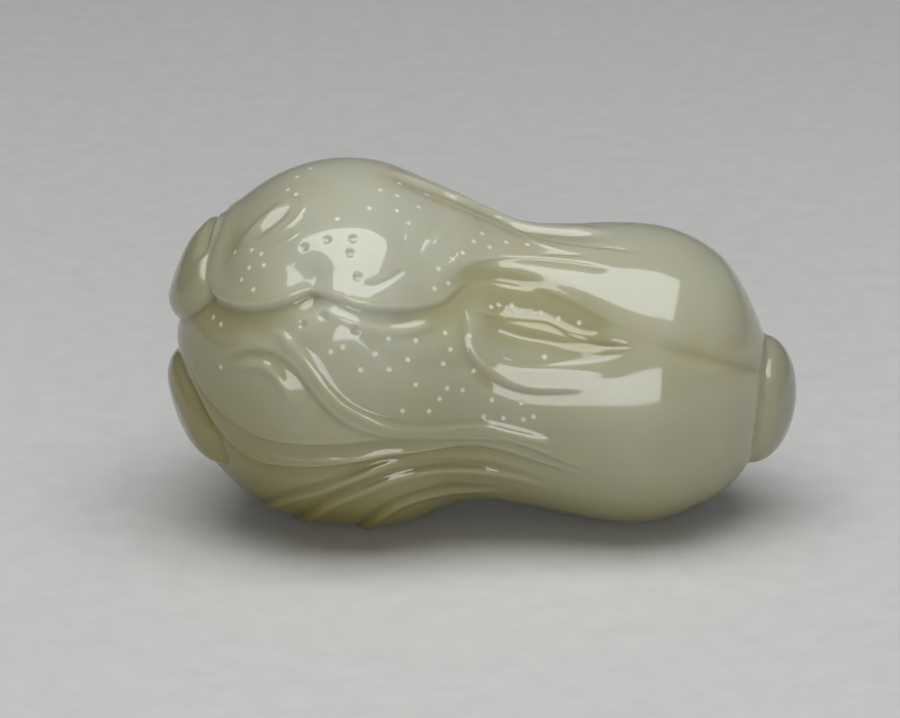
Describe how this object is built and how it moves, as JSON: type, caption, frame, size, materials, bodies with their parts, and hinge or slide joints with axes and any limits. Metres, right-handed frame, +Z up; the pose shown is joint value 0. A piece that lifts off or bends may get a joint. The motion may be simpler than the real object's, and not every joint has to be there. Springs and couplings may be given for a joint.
{
  "type": "jade cabbage carving",
  "caption": "Pale celadon jade carved as a cabbage lying on its side, with overlapping scalloped leaves, a smooth bulb of stalks and a short stem stub.",
  "frame": {"origin": "on the ground under the middle of the carving's box", "axes": "+Z up, +X along the cabbage from its leaf tips to its stem stub, -Y the side with the seen leaves"},
  "size_m": [0.0496, 0.0277, 0.029],
  "materials": {
    "jade": "polished"
  },
  "bodies": {
    "root": {"jade_cabbage": "jade"}
  },
  "joints": []
}
